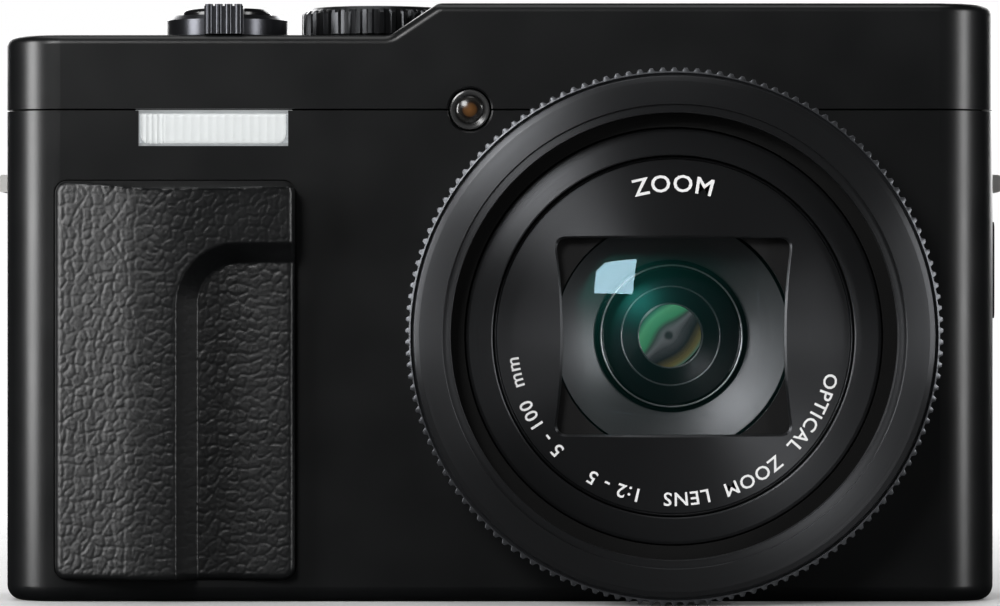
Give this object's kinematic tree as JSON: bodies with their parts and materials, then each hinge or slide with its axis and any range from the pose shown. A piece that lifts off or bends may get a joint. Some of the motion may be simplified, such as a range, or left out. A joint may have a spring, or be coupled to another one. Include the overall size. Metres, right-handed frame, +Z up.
{
  "type": "compact digital camera",
  "caption": "Pocket travel-zoom digital camera with grip, knurled lens control ring, telescoping barrels, blade lens barrier, mode dial, flash and a flip-up rear screen.",
  "frame": {"origin": "middle of the footprint, on the surface the camera stands on", "axes": "+X from the grip side to the lens side, -Y the way the lens looks, +Z up"},
  "size_m": [0.1148, 0.041, 0.0676],
  "materials": {
    "casing_paint": "fine satin black paint over metal",
    "casing_plastic": "matte black",
    "grip_rubber": "leather-grained black",
    "ring_metal": "black anodised, turned",
    "barrel_metal": "black anodised, fine turned",
    "dark_plastic": "flat black",
    "button_plastic": "satin black",
    "optical_glass": "coated, clear",
    "flash_plastic": "clear ribbed plastic",
    "lamp_plastic": "clear, amber inside",
    "screen_glass": "dark glossy cover glass",
    "screen_panel": "dark display panel",
    "reflector_metal": "polished",
    "bright_steel": "polished steel",
    "dark_steel": "blackened screws",
    "gear_plastic": "natural acetal",
    "board_green": "circuit board with parts",
    "capacitor_sleeve": "shrink sleeve",
    "battery_case": "grey",
    "card_case": "dark blue",
    "sensor_face": "sensor cover glass"
  },
  "bodies": {
    "casing": {"front_cover": "casing_paint", "rear_cover": "casing_plastic", "top_cover": "casing_paint", "grip_pad": "grip_rubber", "thumb_rest": "grip_rubber", "flash_window": "flash_plastic", "flash_reflector": "reflector_metal", "flash_tube": "optical_glass", "flash_capacitor": "capacitor_sleeve", "focus_lamp": "lamp_plastic", "lens_base": "ring_metal", "trim_ring": "ring_metal", "fixed_barrel": "dark_plastic", "sensor_plate": "dark_plastic", "image_sensor": "sensor_face", "zoom_motor": "bright_steel", "main_board": "board_green", "port_sockets": "bright_steel", "battery_chamber": "dark_plastic", "battery": "battery_case", "memory_card": "card_case", "tripod_bush": "bright_steel", "strap_lugs": "bright_steel", "case_screws": "dark_steel", "hinge_pins": "bright_steel"},
    "control_ring": {"control_ring": "ring_metal"},
    "outer_barrel": {"outer_barrel": "barrel_metal", "zoom_group_frame": "dark_plastic", "zoom_group_lens": "optical_glass", "shutter_unit": "dark_plastic"},
    "inner_barrel": {"inner_barrel": "barrel_metal", "name_ring": "barrel_metal", "front_lens_frame": "dark_plastic", "front_lens": "optical_glass"},
    "cam_ring": {"cam_ring": "dark_plastic"},
    "idler_gear": {"idler_gear": "gear_plastic"},
    "motor_pinion": {"motor_pinion": "gear_plastic"},
    "focus_group": {"focus_frame": "dark_plastic", "focus_lens": "optical_glass"},
    "screen": {"lcd_housing": "casing_plastic", "lcd_glass": "screen_glass", "lcd_panel": "screen_panel"},
    "barrier_leaf_upper_inner": {"barrier_leaf_upper_inner": "dark_plastic"},
    "barrier_leaf_lower_inner": {"barrier_leaf_lower_inner": "dark_plastic"},
    "barrier_leaf_upper_outer": {"barrier_leaf_upper_outer": "dark_plastic"},
    "barrier_leaf_lower_outer": {"barrier_leaf_lower_outer": "dark_plastic"},
    "shutter_button": {"shutter_button": "button_plastic"},
    "zoom_lever": {"zoom_lever": "ring_metal"},
    "mode_dial": {"mode_dial": "ring_metal"},
    "power_button": {"power_button": "button_plastic"},
    "movie_button": {"movie_button": "button_plastic"},
    "control_dial": {"control_dial": "button_plastic"},
    "set_button": {"set_button": "button_plastic"},
    "playback_button": {"playback_button": "button_plastic"},
    "menu_button": {"menu_button": "button_plastic"},
    "display_button": {"display_button": "button_plastic"},
    "delete_button": {"delete_button": "button_plastic"},
    "battery_door": {"battery_door": "casing_plastic"},
    "battery_latch": {"battery_latch": "dark_plastic"},
    "port_cover": {"port_cover": "casing_plastic"}
  },
  "joints": [
    {"name": "control_ring_turn", "type": "hinge", "parent": "casing", "child": "control_ring", "pos_m": [0.0194, 0, 0.03], "axis": [0, -1, 0], "continuous": true},
    {"name": "lens_extend", "type": "slide", "parent": "casing", "child": "outer_barrel", "axis": [0, -1, 0], "range_m": [0, 0.018]},
    {"name": "inner_barrel_extend", "type": "slide", "parent": "outer_barrel", "child": "inner_barrel", "axis": [0, -1, 0], "range_m": [0, 0.018]},
    {"name": "cam_ring_turn", "type": "hinge", "parent": "casing", "child": "cam_ring", "pos_m": [0.0194, 0, 0.03], "axis": [0, -1, 0], "range_deg": [0, 100]},
    {"name": "idler_turn", "type": "hinge", "parent": "casing", "child": "idler_gear", "pos_m": [-0.00722, 0, 0.01136], "axis": [0, -1, 0], "range_deg": [-442.2, 0]},
    {"name": "motor_pinion_turn", "type": "hinge", "parent": "casing", "child": "motor_pinion", "pos_m": [-0.0103, 0, 0.01982], "axis": [0, -1, 0], "range_deg": [0, 883.8]},
    {"name": "barrier_upper_inner_swing", "type": "hinge", "parent": "inner_barrel", "child": "barrier_leaf_upper_inner", "pos_m": [0.0359, 0, 0.03], "axis": [0, -1, 0], "range_deg": [0, 44]},
    {"name": "barrier_upper_outer_swing", "type": "hinge", "parent": "inner_barrel", "child": "barrier_leaf_upper_outer", "pos_m": [0.0359, 0, 0.03], "axis": [0, -1, 0], "range_deg": [0, 23.1]},
    {"name": "barrier_lower_inner_swing", "type": "hinge", "parent": "inner_barrel", "child": "barrier_leaf_lower_inner", "pos_m": [0.0029, 0, 0.03], "axis": [0, -1, 0], "range_deg": [0, 44.1]},
    {"name": "barrier_lower_outer_swing", "type": "hinge", "parent": "inner_barrel", "child": "barrier_leaf_lower_outer", "pos_m": [0.0029, 0, 0.03], "axis": [0, -1, 0], "range_deg": [0, 23.1]},
    {"name": "focus_slide", "type": "slide", "parent": "casing", "child": "focus_group", "axis": [0, -1, 0], "range_m": [0, 0.0018]},
    {"name": "shutter_press", "type": "slide", "parent": "casing", "child": "shutter_button", "axis": [0, 0, -1], "range_m": [0, 0.0008], "stiffness_N_per_m": 300},
    {"name": "zoom_lever_swing", "type": "hinge", "parent": "casing", "child": "zoom_lever", "pos_m": [-0.0312, -0.001, 0.065], "axis": [0, 0, 1], "range_deg": [-20, 20], "stiffness_Nm_per_rad": 0.02},
    {"name": "mode_dial_turn", "type": "hinge", "parent": "casing", "child": "mode_dial", "pos_m": [-0.0141, 0.003, 0.064], "axis": [0, 0, 1], "continuous": true},
    {"name": "power_press", "type": "slide", "parent": "casing", "child": "power_button", "axis": [0, 0, -1], "range_m": [0, 0.0006], "stiffness_N_per_m": 300},
    {"name": "movie_press", "type": "slide", "parent": "casing", "child": "movie_button", "axis": [0, 0, -1], "range_m": [0, 0.0006], "stiffness_N_per_m": 300},
    {"name": "control_dial_turn", "type": "hinge", "parent": "casing", "child": "control_dial", "pos_m": [-0.0373, 0.0163, 0.024], "axis": [0, 1, 0], "continuous": true},
    {"name": "set_press", "type": "slide", "parent": "casing", "child": "set_button", "axis": [0, -1, 0], "range_m": [0, 0.0005], "stiffness_N_per_m": 300},
    {"name": "playback_press", "type": "slide", "parent": "casing", "child": "playback_button", "axis": [0, -1, 0], "range_m": [0, 0.0005], "stiffness_N_per_m": 300},
    {"name": "menu_press", "type": "slide", "parent": "casing", "child": "menu_button", "axis": [0, -1, 0], "range_m": [0, 0.0005], "stiffness_N_per_m": 300},
    {"name": "display_press", "type": "slide", "parent": "casing", "child": "display_button", "axis": [0, -1, 0], "range_m": [0, 0.0005], "stiffness_N_per_m": 300},
    {"name": "delete_press", "type": "slide", "parent": "casing", "child": "delete_button", "axis": [0, -1, 0], "range_m": [0, 0.0005], "stiffness_N_per_m": 300},
    {"name": "screen_tilt", "type": "hinge", "parent": "casing", "child": "screen", "pos_m": [-0.0201, 0.0181, 0.0519], "axis": [1, 0, 0], "range_deg": [0, 180]},
    {"name": "battery_door_swing", "type": "hinge", "parent": "casing", "child": "battery_door", "pos_m": [-0.0139, 0, 0.00105], "axis": [0, -1, 0], "range_deg": [0, 90]},
    {"name": "battery_latch_slide", "type": "slide", "parent": "battery_door", "child": "battery_latch", "axis": [1, 0, 0], "range_m": [0, 0.002]},
    {"name": "port_cover_swing", "type": "hinge", "parent": "casing", "child": "port_cover", "pos_m": [0.0555, 0.0092, 0.032], "axis": [0, 0, 1], "range_deg": [0, 100]}
  ],
  "couplings": [
    {"joint": "inner_barrel_extend", "follows": "lens_extend", "ratio": 1},
    {"joint": "cam_ring_turn", "follows": "lens_extend", "rad_per_m": 96.963},
    {"joint": "idler_turn", "follows": "lens_extend", "rad_per_m": -428.25},
    {"joint": "motor_pinion_turn", "follows": "lens_extend", "rad_per_m": 856.5},
    {"joint": "barrier_lower_inner_swing", "follows": "barrier_upper_inner_swing", "ratio": 1},
    {"joint": "barrier_upper_outer_swing", "follows": "barrier_upper_inner_swing", "ratio": 0.52273},
    {"joint": "barrier_lower_outer_swing", "follows": "barrier_upper_inner_swing", "ratio": 0.52273}
  ]
}
